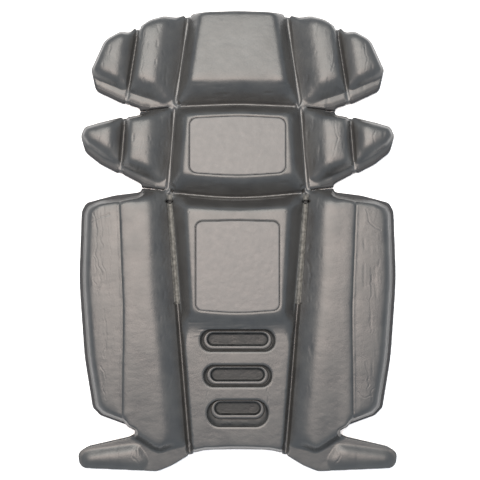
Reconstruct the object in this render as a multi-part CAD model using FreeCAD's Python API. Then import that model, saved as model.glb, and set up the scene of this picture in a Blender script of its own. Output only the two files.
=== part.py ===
"""Back protector: a two-ply moulded foam pad that folds along its pressed grooves.

Frame: the pad lies on its back. +Z points out of its front, +Y to its top edge, +X to its right.
The origin is on the mirror plane, in the plane of the back face. All sizes are in millimetres.
"""
import FreeCAD
import Part
import math
import os

# ---- driving dimensions -----------------------------------------------------------------------
PLY_SPLIT_Z = 5.0          # parting plane between the back ply and the front ply
FLANGE_Z = 6.4             # top of the front ply where it is pressed thin
SPINE_Z = 21.0             # tops of the three tall spine blocks
RIDGE_Z = 18.0             # side panel, inner ridge
OUTER_PANEL_Z = 16.5       # side panel, outer flat
INNER_LOBE_Z = 18.0        # wing lobes beside the spine
OUTER_LOBE_Z = 16.0        # wing lobes at the tips
VENT_PLATE_Z = 14.0        # lower plate with the slots
TAIL_Z = 10.0              # tails at the bottom corners

WEB_GAP = 4.6              # width of a spine channel or cross fold
LOBE_GAP = 3.4             # width of the groove between two lobes
WEB_CLEARANCE = 0.2        # play between a web and the bodies beside it
WEB_BOTTOM_Z = 0.3
WEB_TOP_Z = 4.2

INLAY_THICKNESS = 3.0
INLAY_CLEARANCE = 0.6      # open line round each inlay
STEP_GROOVE_WIDTH = 0.8    # thin groove between the ridge and the outer panel
LEDGE_Z = 9.5              # stepped ledge inside each vent slot

PLY_STEP = 3.0             # the wings' back ply shows this far beyond the front ply
MAIN_FACE_FOOT = -78.0     # line where the main block's lower slope meets the vent plate
CROSS_WEB_INSET = 1.6      # a cross web ends this far inside the spine channel's edge
RAW_STRIP_END = 0.42       # share of the side channel's length where the raw foam shows

HALF_GAP = WEB_GAP / 2
HALF_LOBE_GAP = LOBE_GAP / 2
BACK_Z = 0.0

# Centre lines of the fold grooves on the right-hand side: upper end, lower end.
TOP_CHANNEL = ((44.0, 204.0), (56.3, 121.8))
MID_CHANNEL = ((56.6, 121.2), (62.6, 43.4))
MAIN_CHANNEL = ((61.6, 43.0), (43.2, -191.0))
TOP_LOBE_GROOVE = ((88.7, 193.5), (99.7, 123.3))
MID_LOBE_GROOVE = ((101.0, 111.6), (105.2, 60.6))
STEP_GROOVE = ((105.4, 41.8), (101.6, -62.0), (102.8, -163.6))


# ---- outline helpers --------------------------------------------------------------------------
def shifted(line, distance):
    """The end points of a straight line moved sideways; positive is away from the spine."""
    (x0, y0), (x1, y1) = line
    length = math.hypot(x1 - x0, y1 - y0)
    across_x = (y0 - y1) / length
    across_y = (x1 - x0) / length
    return [(x0 + across_x * distance, y0 + across_y * distance),
            (x1 + across_x * distance, y1 + across_y * distance)]


def between(line, distance, y_high, y_low):
    """The stretch of a shifted line that runs from one height on the pad down to another."""
    (x0, y0), (x1, y1) = shifted(line, distance)
    slope = (x1 - x0) / (y1 - y0)
    return [(x0 + (y - y0) * slope, y) for y in (y_high, y_low)]


def corners(points, radius):
    """Give every plain (x, y) point the same corner radius; (x, y, r) points keep their own."""
    return [point if len(point) == 3 else (point[0], point[1], radius) for point in points]


def mirrored(points):
    """The same outline on the left-hand side, still running clockwise."""
    return [(-point[0],) + tuple(point[1:]) for point in reversed(points)]


def symmetric(half):
    """A whole outline from its right-hand half, which starts and ends on the mirror plane."""
    inner = [point for point in half if point[0] > 0]
    return [half[0]] + inner + [half[-1]] + mirrored(inner)


def rounded_wire(points, z):
    """A closed wire at height z with a tangent arc at every corner."""
    count = len(points)
    arcs = []
    for index in range(count):
        x, y, radius = points[index]
        here = FreeCAD.Vector(x, y, z)
        before = FreeCAD.Vector(points[index - 1][0], points[index - 1][1], z) - here
        after = FreeCAD.Vector(points[(index + 1) % count][0], points[(index + 1) % count][1], z) - here
        half_angle = before.getAngle(after) / 2
        reach = min(radius / math.tan(half_angle), 0.48 * before.Length, 0.48 * after.Length)
        start = here + before.normalize() * reach
        end = here + after.normalize() * reach
        inward = ((before + after) / 2).normalize()
        centre_distance = reach / math.cos(half_angle)
        arc_radius = reach * math.tan(half_angle)
        middle = here + inward * (centre_distance - arc_radius)
        arcs.append((start, middle, end))
    edges = []
    for index in range(count):
        start, middle, end = arcs[index]
        edges.append(Part.Arc(start, middle, end).toShape())
        edges.append(Part.LineSegment(end, arcs[(index + 1) % count][0]).toShape())
    return Part.Wire(edges)


def prism(points, z_low, z_high):
    face = Part.Face(rounded_wire(points, z_low))
    return face.extrude(FreeCAD.Vector(0, 0, z_high - z_low))


def drafted_block(base, top, z_low, z_high):
    """A raised block whose sides slope from the base outline to the top outline."""
    return Part.makeLoft([rounded_wire(base, z_low), rounded_wire(top, z_high)], True, True)


def flanged_block(flange, base, top, z_top):
    """Thin flange of the front ply with one raised block moulded on it."""
    plate = prism(flange, PLY_SPLIT_Z, FLANGE_Z)
    return plate.fuse(drafted_block(base, top, FLANGE_Z, z_top)).removeSplitter()


def stadium(centre_y, half_length, height):
    half_height = height / 2
    points = [(-half_length, centre_y + half_height), (half_length, centre_y + half_height),
              (half_length, centre_y - half_height), (-half_length, centre_y - half_height)]
    return corners(points, half_height * 0.95)


def strip(left_line, right_line):
    """A four-cornered outline between two lines that run downwards."""
    return corners([left_line[0], right_line[0], right_line[1], left_line[1]], 0.4)


# ---- spine column -----------------------------------------------------------------------------
def spine_outline(channel, y_high, y_low, top_points, bottom_points):
    """Outline of a spine body: its upper edge, the channels at its sides and its lower edge."""
    half = top_points + between(channel, -HALF_GAP, y_high, y_low) + bottom_points
    return corners(symmetric(half), 3.0)


TOP_BODY = spine_outline(TOP_CHANNEL, 203.8, 123.6, [(0, 207, 300), (33.0, 205.6, 30)], [(0, 125.6, 300)])
MID_BODY = spine_outline(MID_CHANNEL, 118.6, 45.8, [(0, 121.0, 300)], [(0, 40.4, 300)])
MAIN_BODY = spine_outline(MAIN_CHANNEL, 41.2, -190.6, [(0, 35.8, 300)], [(29.0, -187.8, 40), (0, -187.0, 300)])

TOP_FACE = corners(symmetric([(0, 202.6, 300), (27.0, 202.2, 12), (32.6, 200.6), (42.3, 140.4),
                              (0, 140.8, 300)]), 2.5)
MID_FACE = corners(symmetric([(0, 112.8, 300), (45.4, 110.6), (49.0, 58.2), (0, 53.4, 300)]), 3.0)
MAIN_FACE = corners(symmetric([(0, 26.4, 300), (44.6, 28.8), (40.4, -63.0), (0, -67.6, 300)]), 3.0)
MAIN_BLOCK_BASE = corners(symmetric([(0, 35.7, 300), (59.1, 41.0), (49.4, -88.5), (0, -91.5, 300)]), 3.0)


def column_block(body, face, z_top):
    foot = prism(body, PLY_SPLIT_Z, FLANGE_Z)
    return foot.fuse(drafted_block(body, face, FLANGE_Z, z_top)).removeSplitter()


def with_recess(block, inlay_outline):
    return block.cut(prism(grown(inlay_outline, INLAY_CLEARANCE), SPINE_Z - INLAY_THICKNESS, SPINE_Z + 1))


def grown(points, distance):
    """A convex outline about its own middle, moved outwards by a distance along X and Y."""
    middle_y = (max(point[1] for point in points) + min(point[1] for point in points)) / 2
    moved = []
    for x, y, radius in points:
        step_x = math.copysign(distance, x) if x else 0
        step_y = math.copysign(distance, y - middle_y)
        moved.append((x + step_x, y + step_y, radius + distance))
    return moved


MID_INLAY = corners(symmetric([(0, 109.8, 300), (42.6, 107.4), (42.6, 59.2), (0, 56.4, 300)]), 7.0)
MAIN_INLAY = corners(symmetric([(0, 17.2, 300), (37.0, 16.2), (37.0, -62.0), (0, -64.8, 300)]), 6.0)


def half_plane(y_low, y_high):
    wide = 400
    return Part.makeBox(wide, y_high - y_low, wide, FreeCAD.Vector(-wide / 2, y_low, -wide / 2))


def main_block():
    foot = prism(MAIN_BODY, PLY_SPLIT_Z, FLANGE_Z)
    raised = drafted_block(MAIN_BLOCK_BASE, MAIN_FACE, FLANGE_Z, SPINE_Z)
    block = foot.fuse(raised).common(half_plane(MAIN_FACE_FOOT, 100))
    return with_recess(block.removeSplitter(), MAIN_INLAY)


# Vent slots: centre line, half length and height at the plate, at the ledge and in the pocket.
SLOTS = (
    {"plate": (-89.0, 34.0, 20.7), "ledge": (-89.0, 30.8, 17.0), "pocket": (-89.0, 27.2, 11.3)},
    {"plate": (-120.6, 31.0, 20.7), "ledge": (-120.6, 27.8, 17.0), "pocket": (-120.6, 24.0, 11.3)},
    {"plate": (-154.0, 27.9, 25.0), "ledge": (-150.8, 24.0, 17.0), "pocket": (-150.8, 20.5, 11.3)},
)


def slot_cutter(slot):
    mouth = drafted_block(stadium(*slot["ledge"]), stadium(*slot["plate"]), LEDGE_Z, VENT_PLATE_Z)
    lid = prism(stadium(*slot["plate"]), VENT_PLATE_Z, VENT_PLATE_Z + 2)
    pocket = prism(stadium(*slot["pocket"]), PLY_SPLIT_Z - 1, LEDGE_Z)
    return mouth.fuse([lid, pocket])


def vent_plate():
    top = corners(symmetric([(0, 30.0, 300), (56.6, 34.0), (40.0, -187.6), (29.0, -185.6, 40),
                             (0, -184.8, 300)]), 3.0)
    foot = prism(MAIN_BODY, PLY_SPLIT_Z, FLANGE_Z)
    raised = drafted_block(MAIN_BODY, top, FLANGE_Z, VENT_PLATE_Z)
    plate = foot.fuse(raised).common(half_plane(-250, MAIN_FACE_FOOT))
    for slot in SLOTS:
        plate = plate.cut(slot_cutter(slot))
    return plate.removeSplitter()


# ---- wing rows, drawn on the right-hand side --------------------------------------------------
def top_inner_outline(ply_step):
    """Body outline; ply_step pulls the front ply in along the lower edge."""
    channel = between(TOP_CHANNEL, HALF_GAP, 203.2, 122.8)
    groove = shifted(TOP_LOBE_GROOVE, -HALF_LOBE_GAP)
    return corners([channel[0], (54.9, 200.9, 8), (66.0, 202.4, 10), (78.8, 199.1, 20), groove[0],
                    (groove[1][0], groove[1][1] + ply_step), (86.4, 119.8 + 0.6 * ply_step, 3), channel[1]], 2.0)


def top_outer_outline(ply_step):
    groove = shifted(TOP_LOBE_GROOVE, HALF_LOBE_GAP)
    return corners([groove[0], (96.8, 187.3, 6), (105.5, 188.6, 9), (119.5, 180.8, 16), (131.8, 153.6, 6),
                    (127.8 - 0.3 * ply_step, 135.6 + 0.9 * ply_step, 7), (106.0, 125.4 + ply_step, 20),
                    (groove[1][0], groove[1][1] + ply_step)], 2.0)


def mid_inner_outline(ply_step):
    channel = between(MID_CHANNEL, HALF_GAP, 118.4, 48.0)
    groove = shifted(MID_LOBE_GROOVE, -HALF_LOBE_GAP)
    return corners([channel[0], (85.8, 114.2, 3), (88.5, 113.2, 3), groove[0],
                    (groove[1][0], groove[1][1] + ply_step), (88.6, 52.8 + ply_step, 6),
                    (84.8, 50.2 + ply_step, 2), channel[1]], 2.0)


def mid_outer_outline(ply_step):
    groove = shifted(MID_LOBE_GROOVE, HALF_LOBE_GAP)
    return corners([groove[0], (124.0, 106.6, 30), (137.6, 102.6, 6), (141.2, 94.0, 6),
                    (137.2 - 0.5 * ply_step, 80.0 + 0.8 * ply_step, 10),
                    (123.8 - 0.3 * ply_step, 69.5 + ply_step, 20), (groove[1][0], groove[1][1] + ply_step)], 2.0)


WINGS = {
    "top_inner": {
        "outline": top_inner_outline, "z": INNER_LOBE_Z,
        "base": [(48.8, 200.2), (66.2, 201.2, 10), (84.0, 196.2, 6), (87.2, 190.8), (96.4, 133.6), (62.4, 123.0)],
        "face": [(64.4, 196.6), (70.6, 196.2, 6), (82.2, 192.2), (85.4, 188.8), (90.6, 145.0), (73.4, 138.2)]},
    "top_outer": {
        "outline": top_outer_outline, "z": OUTER_LOBE_Z,
        "base": [(92.6, 188.4), (105.4, 188.2, 12), (120.2, 179.6, 14), (131.2, 153.0, 5), (126.6, 146.2, 8),
                 (99.6, 134.6)],
        "face": [(101.4, 182.2), (107.2, 183.0, 8), (116.4, 177.4, 12), (125.2, 155.8, 5), (122.2, 150.6, 6),
                 (107.4, 144.8)]},
    "mid_inner": {
        "outline": mid_inner_outline, "z": INNER_LOBE_Z,
        "base": [(60.2, 117.2), (98.6, 110.8), (102.2, 66.4), (68.0, 51.6)],
        "face": [(76.0, 110.6), (95.6, 107.2), (96.6, 71.0), (78.0, 64.4)]},
    "mid_outer": {
        "outline": mid_outer_outline, "z": OUTER_LOBE_Z,
        "base": [(103.8, 109.6), (137.6, 101.6), (139.6, 94.2), (136.0, 84.0), (106.0, 67.0)],
        "face": [(112.8, 104.0), (133.6, 98.8), (134.6, 95.2), (131.2, 90.0), (113.6, 80.4)]},
}


def wing_front(wing):
    flange = wing["outline"](PLY_STEP)
    return flanged_block(flange, corners(wing["base"], 3.5), corners(wing["face"], 3.5), wing["z"])


def wing_backing(wing):
    return prism(wing["outline"](0.0), BACK_Z, PLY_SPLIT_Z)


# ---- side panels, drawn on the right-hand side ------------------------------------------------
SIDE_CHANNEL = between(MAIN_CHANNEL, HALF_GAP, 43.6, -191.6)
PANEL_OUTER_EDGE = [(136.6, 34.6, 7), (140.6, 27.0, 12), (142.8, -35.0, 300), (138.0, -104.0, 200),
                    (130.6, -149.8, 6), (124.0, -156.8, 8)]
LOWER_NOTCH = [(97.6, -166.4, 9), (90.2, -172.6, 4), (98.0, -176.4, 9)]
TAIL_EDGE = [(134.6, -184.8, 12), (143.4, -190.0, 6), (142.0, -204.0, 8), (72.0, -207.0, 14),
             (59.0, -201.6, 30), (44.4, -192.8, 20)]


def side_outline():
    return corners([SIDE_CHANNEL[0], (84.6, 45.8, 2), (88.4, 44.2, 3), (112.0, 41.2, 60)] + PANEL_OUTER_EDGE
                   + LOWER_NOTCH + TAIL_EDGE + [SIDE_CHANNEL[1]], 2.0)


def side_outer_panel():
    groove = STEP_GROOVE_WIDTH / 2
    (x0, y0), (x1, y1), (x2, y2) = STEP_GROOVE
    base = corners([(x0 + groove, y0 - 3.4), (124.0, 36.2, 30), (134.6, 31.6, 7), (137.8, 25.0, 12),
                    (139.8, -35.0, 300), (135.0, -104.0, 200), (127.8, -149.0, 6), (122.0, -155.4, 8),
                    (x2 + groove, y2 + 1.2), (x1 + groove, y1, 300)], 1.0)
    top = corners([(x0 + groove, y0 - 8.0), (122.0, 31.6, 30), (127.8, 27.6, 6), (130.0, 21.0, 14),
                   (131.6, -35.0, 300), (126.8, -104.0, 200), (120.6, -143.6, 8), (116.4, -149.2, 9),
                   (x2 + groove, y2 + 6.0), (x1 + groove, y1, 300)], 1.0)
    foot = prism(base, PLY_SPLIT_Z, FLANGE_Z)
    return foot.fuse(drafted_block(base, top, FLANGE_Z, OUTER_PANEL_Z)).removeSplitter()


RIDGE_FOOT = [(98.6, -167.2, 8), (89.4, -171.6, 9), (85.8, -179.0, 12), (72.0, -187.2, 16), (54.0, -188.0, 16)]


# The ridge's crest beside the channel and its foot: share of the channel's length, crest point.
RIDGE_CREST = [(0.27, (81.0, -22.0)), (0.42, (77.4, -56.0)), (0.55, (74.0, -84.0)), (0.72, (71.0, -124.0))]
FOOT_BOW = 0.3             # the foot line is this far outside the channel's straight edge


def side_ridge():
    groove = STEP_GROOVE_WIDTH / 2
    (x0, y0), (x1, y1), (x2, y2) = STEP_GROOVE
    upper, lower = SIDE_CHANNEL

    def foot_point(share, bow):
        return (upper[0] + (lower[0] - upper[0]) * share + bow, upper[1] + (lower[1] - upper[1]) * share)

    foot_line = [foot_point(share, FOOT_BOW * (1 + 4 * share * (1 - share))) + (300,) for share, _ in reversed(RIDGE_CREST)]
    base = corners([upper, (84.4, 45.6, 2), (88.6, 41.4, 3), (x0 - groove, y0 - 3.4), (x1 - groove, y1, 300),
                    (x2 - groove, y2 + 1.2)] + RIDGE_FOOT[:4] + [foot_point(0.965, 0.0)] + foot_line, 1.0)
    crest_line = [crest + (60,) for _, crest in reversed(RIDGE_CREST)]
    top = corners([(80.6, 35.0), (84.6, 36.4), (90.0, 35.8), (x0 - groove, y0 - 8.0), (x1 - groove, y1, 300),
                   (x2 - groove, y2 + 6.0), (95.0, -161.0), (84.0, -166.0), (78.0, -171.0), (71.0, -174.6),
                   (66.6, -170.0)] + crest_line, 2.0)
    foot = prism(base, PLY_SPLIT_Z, FLANGE_Z)
    return foot.fuse(drafted_block(base, top, FLANGE_Z, RIDGE_Z)).removeSplitter()


def side_tail():
    lower = SIDE_CHANNEL[1]
    flange = corners([(90.2, -173.6, 3), (98.0, -176.4, 9)] + TAIL_EDGE + [lower, (47.4, -184.8), (54.0, -188.8, 14),
                     (72.4, -188.2, 14), (87.0, -180.0, 10)], 2.0)
    base = corners([(89.0, -182.0), (135.6, -188.4), (140.6, -192.0), (139.0, -203.0), (83.0, -205.6),
                    (79.0, -197.0)], 4.0)
    top = corners([(91.6, -187.2), (134.0, -193.4), (136.4, -195.6), (134.6, -200.6), (88.4, -202.8),
                   (85.6, -196.6)], 3.0)
    plate = prism(flange, PLY_SPLIT_Z, FLANGE_Z)
    return plate.fuse(drafted_block(base, top, FLANGE_Z, TAIL_Z)).removeSplitter()


def side_backing():
    return prism(side_outline(), BACK_Z, PLY_SPLIT_Z)


# ---- fold webs --------------------------------------------------------------------------------


def edge_heights(middle, corner, x):
    """Y of a spine body's bowed edge on the mirror plane and at x."""
    return middle[1], middle[1] + (corner[1] - middle[1]) * x / corner[0]


def channel_web(line, gap):
    half_width = gap / 2 - WEB_CLEARANCE
    return prism(strip(shifted(line, -half_width), shifted(line, half_width)), WEB_BOTTOM_Z, WEB_TOP_Z)


def cross_web(above, below):
    """Web of a cross fold, bowed like the edges of the blocks above and below it."""
    middle = len(above) // 2
    half_length = min(below[1][0], above[middle - 1][0]) - CROSS_WEB_INSET
    upper_middle, upper_end = edge_heights(above[middle], above[middle - 1], half_length)
    lower_middle, lower_end = edge_heights(below[0], below[1], half_length)
    half = [(0, upper_middle - WEB_CLEARANCE, 300), (half_length, upper_end - WEB_CLEARANCE),
            (half_length, lower_end + WEB_CLEARANCE), (0, lower_middle + WEB_CLEARANCE, 300)]
    return prism(corners(symmetric(half), 0.4), WEB_BOTTOM_Z, WEB_TOP_Z)


def part_of(line, start, end):
    (x0, y0), (x1, y1) = line
    return ((x0 + (x1 - x0) * start, y0 + (y1 - y0) * start), (x0 + (x1 - x0) * end, y0 + (y1 - y0) * end))


def mirror_shape(shape):
    return shape.mirror(FreeCAD.Vector(0, 0, 0), FreeCAD.Vector(1, 0, 0))


# ---- assembly ---------------------------------------------------------------------------------
def spine_nodes():
    return {
        "top_block": column_block(TOP_BODY, TOP_FACE, SPINE_Z),
        "top_block_backing": prism(TOP_BODY, BACK_Z, PLY_SPLIT_Z),
        "mid_block": with_recess(column_block(MID_BODY, MID_FACE, SPINE_Z), MID_INLAY),
        "mid_block_backing": prism(MID_BODY, BACK_Z, PLY_SPLIT_Z),
        "mid_inlay": prism(MID_INLAY, SPINE_Z - INLAY_THICKNESS, SPINE_Z),
        "main_block": main_block(),
        "main_inlay": prism(MAIN_INLAY, SPINE_Z - INLAY_THICKNESS, SPINE_Z),
        "vent_plate": vent_plate(),
        "main_backing": prism(MAIN_BODY, BACK_Z, PLY_SPLIT_Z),
        "upper_fold_web": cross_web(TOP_BODY, MID_BODY),
        "lower_fold_web": cross_web(MID_BODY, MAIN_BODY),
    }


def right_hand_nodes():
    nodes = {}
    for name, wing in WINGS.items():
        nodes[name + "_lobe"] = wing_front(wing)
        nodes[name + "_backing"] = wing_backing(wing)
    nodes["side_outer_panel"] = side_outer_panel()
    nodes["side_ridge"] = side_ridge()
    nodes["side_tail"] = side_tail()
    nodes["side_backing"] = side_backing()
    nodes["top_channel_web"] = channel_web(TOP_CHANNEL, WEB_GAP)
    nodes["mid_channel_web"] = channel_web(MID_CHANNEL, WEB_GAP)
    nodes["slit_channel_web"] = channel_web(part_of(MAIN_CHANNEL, 0.0, RAW_STRIP_END), WEB_GAP)
    nodes["low_channel_web"] = channel_web(part_of(MAIN_CHANNEL, RAW_STRIP_END, 1.0), WEB_GAP)
    nodes["top_lobe_web"] = channel_web(TOP_LOBE_GROOVE, LOBE_GAP)
    nodes["mid_lobe_web"] = channel_web(MID_LOBE_GROOVE, LOBE_GAP)
    return nodes


def build():
    nodes = spine_nodes()
    for name, shape in right_hand_nodes().items():
        nodes["right_" + name] = shape
        nodes["left_" + name] = mirror_shape(shape)
    return nodes


os.makedirs("parts", exist_ok=True)
for node_name, node_shape in build().items():
    if not node_shape.isValid() or len(node_shape.Solids) != 1:
        raise ValueError(node_name + " is not one valid solid")
    node_shape.Solids[0].exportStep("parts/" + node_name + ".step")
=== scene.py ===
"""Looks of the moulded foam back protector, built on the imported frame.

The front ply is one relief: a height above the back plane for every point of a fine grid. Slices
of the CAD nodes shape it. It is then cut into one piece per body and one web per fold groove.
"""
import math
import bpy
import bmesh
import numpy as np
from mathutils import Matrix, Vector
from mathutils.geometry import tessellate_polygon


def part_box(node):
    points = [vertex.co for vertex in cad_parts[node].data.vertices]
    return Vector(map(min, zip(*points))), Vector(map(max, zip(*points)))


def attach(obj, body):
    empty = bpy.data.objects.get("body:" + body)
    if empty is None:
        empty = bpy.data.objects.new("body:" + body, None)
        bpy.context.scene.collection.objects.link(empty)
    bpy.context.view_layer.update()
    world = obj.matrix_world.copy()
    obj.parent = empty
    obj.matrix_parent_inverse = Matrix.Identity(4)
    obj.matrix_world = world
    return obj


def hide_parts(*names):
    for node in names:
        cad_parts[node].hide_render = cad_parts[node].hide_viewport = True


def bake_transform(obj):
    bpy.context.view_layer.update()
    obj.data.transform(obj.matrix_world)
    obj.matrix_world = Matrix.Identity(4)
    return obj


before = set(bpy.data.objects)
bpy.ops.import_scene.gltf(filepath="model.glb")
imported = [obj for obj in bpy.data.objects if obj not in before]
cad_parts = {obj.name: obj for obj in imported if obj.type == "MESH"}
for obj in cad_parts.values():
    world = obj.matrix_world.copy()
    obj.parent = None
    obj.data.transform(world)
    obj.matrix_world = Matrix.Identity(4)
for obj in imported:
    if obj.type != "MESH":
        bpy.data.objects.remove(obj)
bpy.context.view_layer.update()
MM = 0.001

# ---- sizes in millimetres ----
GRID = 0.7  # spacing of the relief grid
MARGIN = 6.0  # grid beyond the object's box
SPLIT_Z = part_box("top_block_backing")[1].z / MM  # parting plane of the two plies
FLANGE_Z = SPLIT_Z + 1.4  # top of the front ply where it is pressed thin
WEB_BOTTOM_Z = 0.3  # underside of the webs
WEB_SLICE_Z = 2.05  # height at which the webs' CAD strips are read
FRONT_SLICE_Z = SPLIT_Z + 0.6  # height at which the front ply's outlines are read
SLIT_Z = 3.6  # raw foam in the slits
FAR = 60.0  # distance given to grid points away from an outline
SEED = 7
SIGN = {"left": -1, "right": 1}  # the right side is at positive x


# ---- slices of the CAD nodes ----
def slice_loops(node, z):
    """Outlines of a node cut at height z, as arrays of x, y in millimetres, widest first."""
    bm = bmesh.new()
    bm.from_mesh(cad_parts[node].data)
    bmesh.ops.remove_doubles(bm, verts=bm.verts, dist=1e-6)
    geometry = bm.verts[:] + bm.edges[:] + bm.faces[:]
    cut = bmesh.ops.bisect_plane(bm, geom=geometry, plane_co=(0, 0, z * MM), plane_no=(0, 0, 1))
    edges = [item for item in cut["geom_cut"] if isinstance(item, bmesh.types.BMEdge)]
    bm.verts.index_update()
    neighbours = {}
    for edge in edges:
        a, b = edge.verts
        neighbours.setdefault(a, []).append(b)
        neighbours.setdefault(b, []).append(a)
    loops, seen = [], set()
    for start in sorted(neighbours, key=lambda vertex: vertex.index):
        loop, step = [], None if start in seen else start
        while step is not None:
            loop.append(step)
            seen.add(step)
            step = next((v for v in neighbours[step] if v not in seen), None)
        if loop:
            loops.append(np.array([(v.co.x, v.co.y) for v in loop]) / MM)
    bm.free()
    return sorted(loops, key=lambda loop: -np.ptp(loop, axis=0).sum())


def thin_loop(loop, spacing=GRID / 2):
    """The loop without points that crowd each other."""
    kept = [loop[0]]
    for point in loop[1:]:
        if np.hypot(*(point - kept[-1])) > spacing:
            kept.append(point)
    return np.array(kept)


# ---- the grid and distances on it ----
low = np.min([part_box(node)[0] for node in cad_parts], axis=0)[:2] / MM
high = np.max([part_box(node)[1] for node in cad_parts], axis=0)[:2] / MM
columns = int(math.ceil((high[0] + MARGIN) / GRID))
rows_low = int(math.floor((low[1] - MARGIN) / GRID))
rows_high = int(math.ceil((high[1] + MARGIN) / GRID))
axis_x = np.arange(-columns, columns + 1) * GRID
axis_y = np.arange(rows_low, rows_high + 1) * GRID
X, Y = np.meshgrid(axis_x, axis_y)


def segment_distance(px, py, a, b):
    """Distance of points from the segment between a and b."""
    span = b - a
    share = ((px - a[0]) * span[0] + (py - a[1]) * span[1]) / max(span @ span, 1e-12)
    share = np.clip(share, 0, 1)
    return np.hypot(px - a[0] - share * span[0], py - a[1] - share * span[1])


def window(loop, reach):
    """Slices of the grid that hold a loop with some room round it."""
    x0, y0 = loop.min(0) - reach
    x1, y1 = loop.max(0) + reach
    columns_in = np.where((axis_x >= x0) & (axis_x <= x1))[0]
    rows_in = np.where((axis_y >= y0) & (axis_y <= y1))[0]
    return slice(rows_in[0], rows_in[-1] + 1), slice(columns_in[0], columns_in[-1] + 1)


def inside_distance(loop, reach=8.0):
    """Distance from a closed outline at every grid point: positive inside, negative outside."""
    loop = thin_loop(loop)
    where = window(loop, reach)
    px, py = X[where], Y[where]
    nearest = np.full(px.shape, FAR)
    crossings = np.zeros(px.shape, bool)
    for a, b in zip(loop, np.roll(loop, -1, axis=0)):
        nearest = np.minimum(nearest, segment_distance(px, py, a, b))
        if a[1] != b[1]:
            spans = (a[1] > py) != (b[1] > py)
            crossings ^= spans & (px < (b[0] - a[0]) * (py - a[1]) / (b[1] - a[1]) + a[0])
    field = np.full(X.shape, -FAR)
    field[where] = np.where(crossings, nearest, -nearest)
    return field


def smoothstep(low_edge, high_edge, value):
    """0 below the low edge, 1 above the high edge, and a smooth rise between them."""
    share = np.clip((value - low_edge) / (high_edge - low_edge), 0, 1)
    return share * share * (3 - 2 * share)


def mix(a, b, share):
    return a + (b - a) * share


frequency_y = np.fft.fftfreq(len(axis_y), GRID)[:, None]
frequency_x = np.fft.rfftfreq(len(axis_x), GRID)[None, :]


def blurred(field, sigma_x, sigma_y=None):
    """Gaussian blur, sigma in millimetres."""
    sigma_y = sigma_x if sigma_y is None else sigma_y
    keep = np.exp(-2 * math.pi ** 2 * ((sigma_x * frequency_x) ** 2 + (sigma_y * frequency_y) ** 2))
    return np.fft.irfft2(np.fft.rfft2(field) * keep, s=field.shape)


def facing_down(field, start, whole=0.7):
    """1 where a shape's edge faces down the object, 0 where it faces sideways or up."""
    return smoothstep(start, whole, np.gradient(blurred(field, 2.0), GRID)[0])


def grain(seed, sigma_x, sigma_y):
    """Seeded noise with unit spread whose blotches have the given sizes."""
    noise = blurred(np.random.default_rng(seed).standard_normal(X.shape), sigma_x, sigma_y)
    return noise / noise.std()


# ---- the sheet inside a field ----
class Sheet:
    """The part of the grid where a field is positive, cut exactly on the zero line."""

    def __init__(self, field, height):
        r, c = np.where(field > 0)
        where = slice(r.min() - 1, r.max() + 2), slice(c.min() - 1, c.max() + 2)
        self.field = field[where]
        self.grid = np.dstack([X[where], Y[where], height[where]])
        inside = self.field > 0
        self.count = int(inside.sum())
        self.index = np.full(self.field.shape, -1)
        self.index[inside] = np.arange(self.count)
        self.crossings, self.extra, self.follow = {}, [], {}
        whole = inside[:-1, :-1] & inside[:-1, 1:] & inside[1:, 1:] & inside[1:, :-1]
        r, c = np.where(whole)
        at = self.index
        self.faces = np.column_stack([at[r, c], at[r, c + 1], at[r + 1, c + 1], at[r + 1, c]]).tolist()
        self.add_cut_cells(inside)
        self.points = np.vstack([self.grid[inside]] + self.extra)

    def crossing(self, p, q):
        """Index of the point where the field is zero between two neighbouring grid points."""
        key = (p, q) if p < q else (q, p)
        if key not in self.crossings:
            value_a, value_b = self.field[key[0]], self.field[key[1]]
            share = min(max(value_a / (value_a - value_b), 0.05), 0.95)  # keeps the points apart
            start, end = self.grid[key[0]], self.grid[key[1]]
            self.crossings[key] = self.count + len(self.extra)
            self.extra.append(start + (end - start) * share)
        return self.crossings[key]

    def add_cut_cells(self, inside):
        """Faces of the cells on the zero line, and which way the line runs through them."""
        total = inside[:-1, :-1].astype(int) + inside[:-1, 1:] + inside[1:, 1:] + inside[1:, :-1]
        for r, c in zip(*(numbers.tolist() for numbers in np.where((total > 0) & (total < 4)))):
            around = [(r, c), (r, c + 1), (r + 1, c + 1), (r + 1, c)]
            face, cuts = [], []
            for p, q in zip(around, around[1:] + around[:1]):
                if inside[p]:
                    face.append(int(self.index[p]))
                if inside[p] != inside[q]:
                    cut = self.crossing(p, q)
                    face.append(cut)
                    cuts.append((cut, bool(inside[p])))
            self.faces.append(face)
            for (a, leaving), (b, _) in zip(cuts, cuts[1:] + cuts[:1]):
                if leaving:
                    self.follow[a] = b

    def loops(self):
        """The sheet's edge as closed loops of point numbers, the sheet on their left."""
        follow, loops = dict(self.follow), []
        while follow:
            start, step = follow.popitem()
            loop = [start]
            while step != start:
                loop.append(step)
                step = follow.pop(step)
            loops.append(loop)
        return sorted(loops, key=len, reverse=True)


def true_distance(field, reach=6.0):
    """The same zero line, with every other value made the real distance from it."""
    sheet = Sheet(field, X)
    nearest = np.full(X.shape, reach)
    for loop in sheet.loops():
        ring = sheet.points[loop, :2]
        for a, b in zip(ring, np.roll(ring, -1, axis=0)):
            c0, c1 = np.searchsorted(axis_x, (min(a[0], b[0]) - reach, max(a[0], b[0]) + reach))
            r0, r1 = np.searchsorted(axis_y, (min(a[1], b[1]) - reach, max(a[1], b[1]) + reach))
            where = slice(r0, r1), slice(c0, c1)
            nearest[where] = np.minimum(nearest[where], segment_distance(X[where], Y[where], a, b))
    return np.where(field > 0, nearest, -nearest)


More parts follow.
